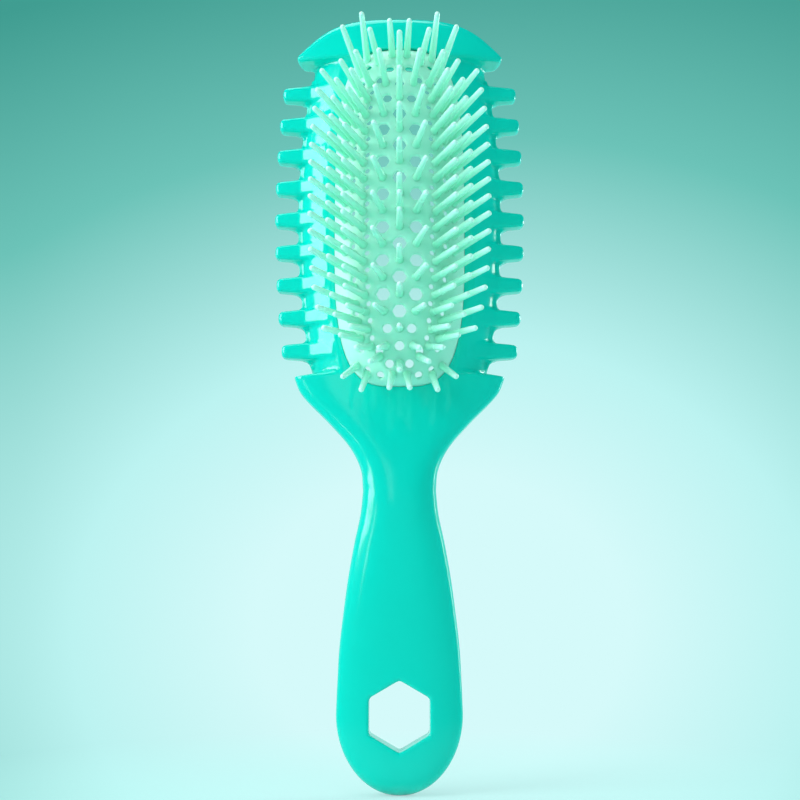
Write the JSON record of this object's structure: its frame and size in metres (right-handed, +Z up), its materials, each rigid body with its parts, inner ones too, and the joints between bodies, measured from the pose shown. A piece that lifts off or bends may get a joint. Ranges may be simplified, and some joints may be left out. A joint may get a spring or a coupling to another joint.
{
  "type": "detangling hairbrush",
  "caption": "Vented detangling brush with a hollow paddle handle, comb-fingered rails, an arched open head and a springy perforated pad of fanned pins.",
  "frame": {"origin": "middle of the bounding box's bottom: under the round end of the handle", "axes": "+Z up along the handle to the head, -Y the way the pins point, +X across the head"},
  "size_m": [0.0774, 0.0339, 0.2336],
  "materials": {
    "frame": "gloss",
    "pad": "satin"
  },
  "bodies": {
    "frame": {"front_shell": "frame", "back_cover": "frame", "pad_retainer": "frame", "pad_skirt": "pad"},
    "pad": {"pad_dome": "pad", "pins_centre": "pad", "pins_left_1": "pad", "pins_left_2": "pad", "pins_left_3": "pad", "pins_left_4": "pad", "pins_right_1": "pad", "pins_right_2": "pad", "pins_right_3": "pad", "pins_right_4": "pad", "pins_top": "pad", "pins_bottom": "pad"}
  },
  "joints": [
    {"name": "pad_give", "type": "slide", "parent": "frame", "child": "pad", "axis": [0, 1, 0], "range_m": [0, 0.0025], "stiffness_N_per_m": 2000, "deforming": ["pad_skirt"]}
  ]
}
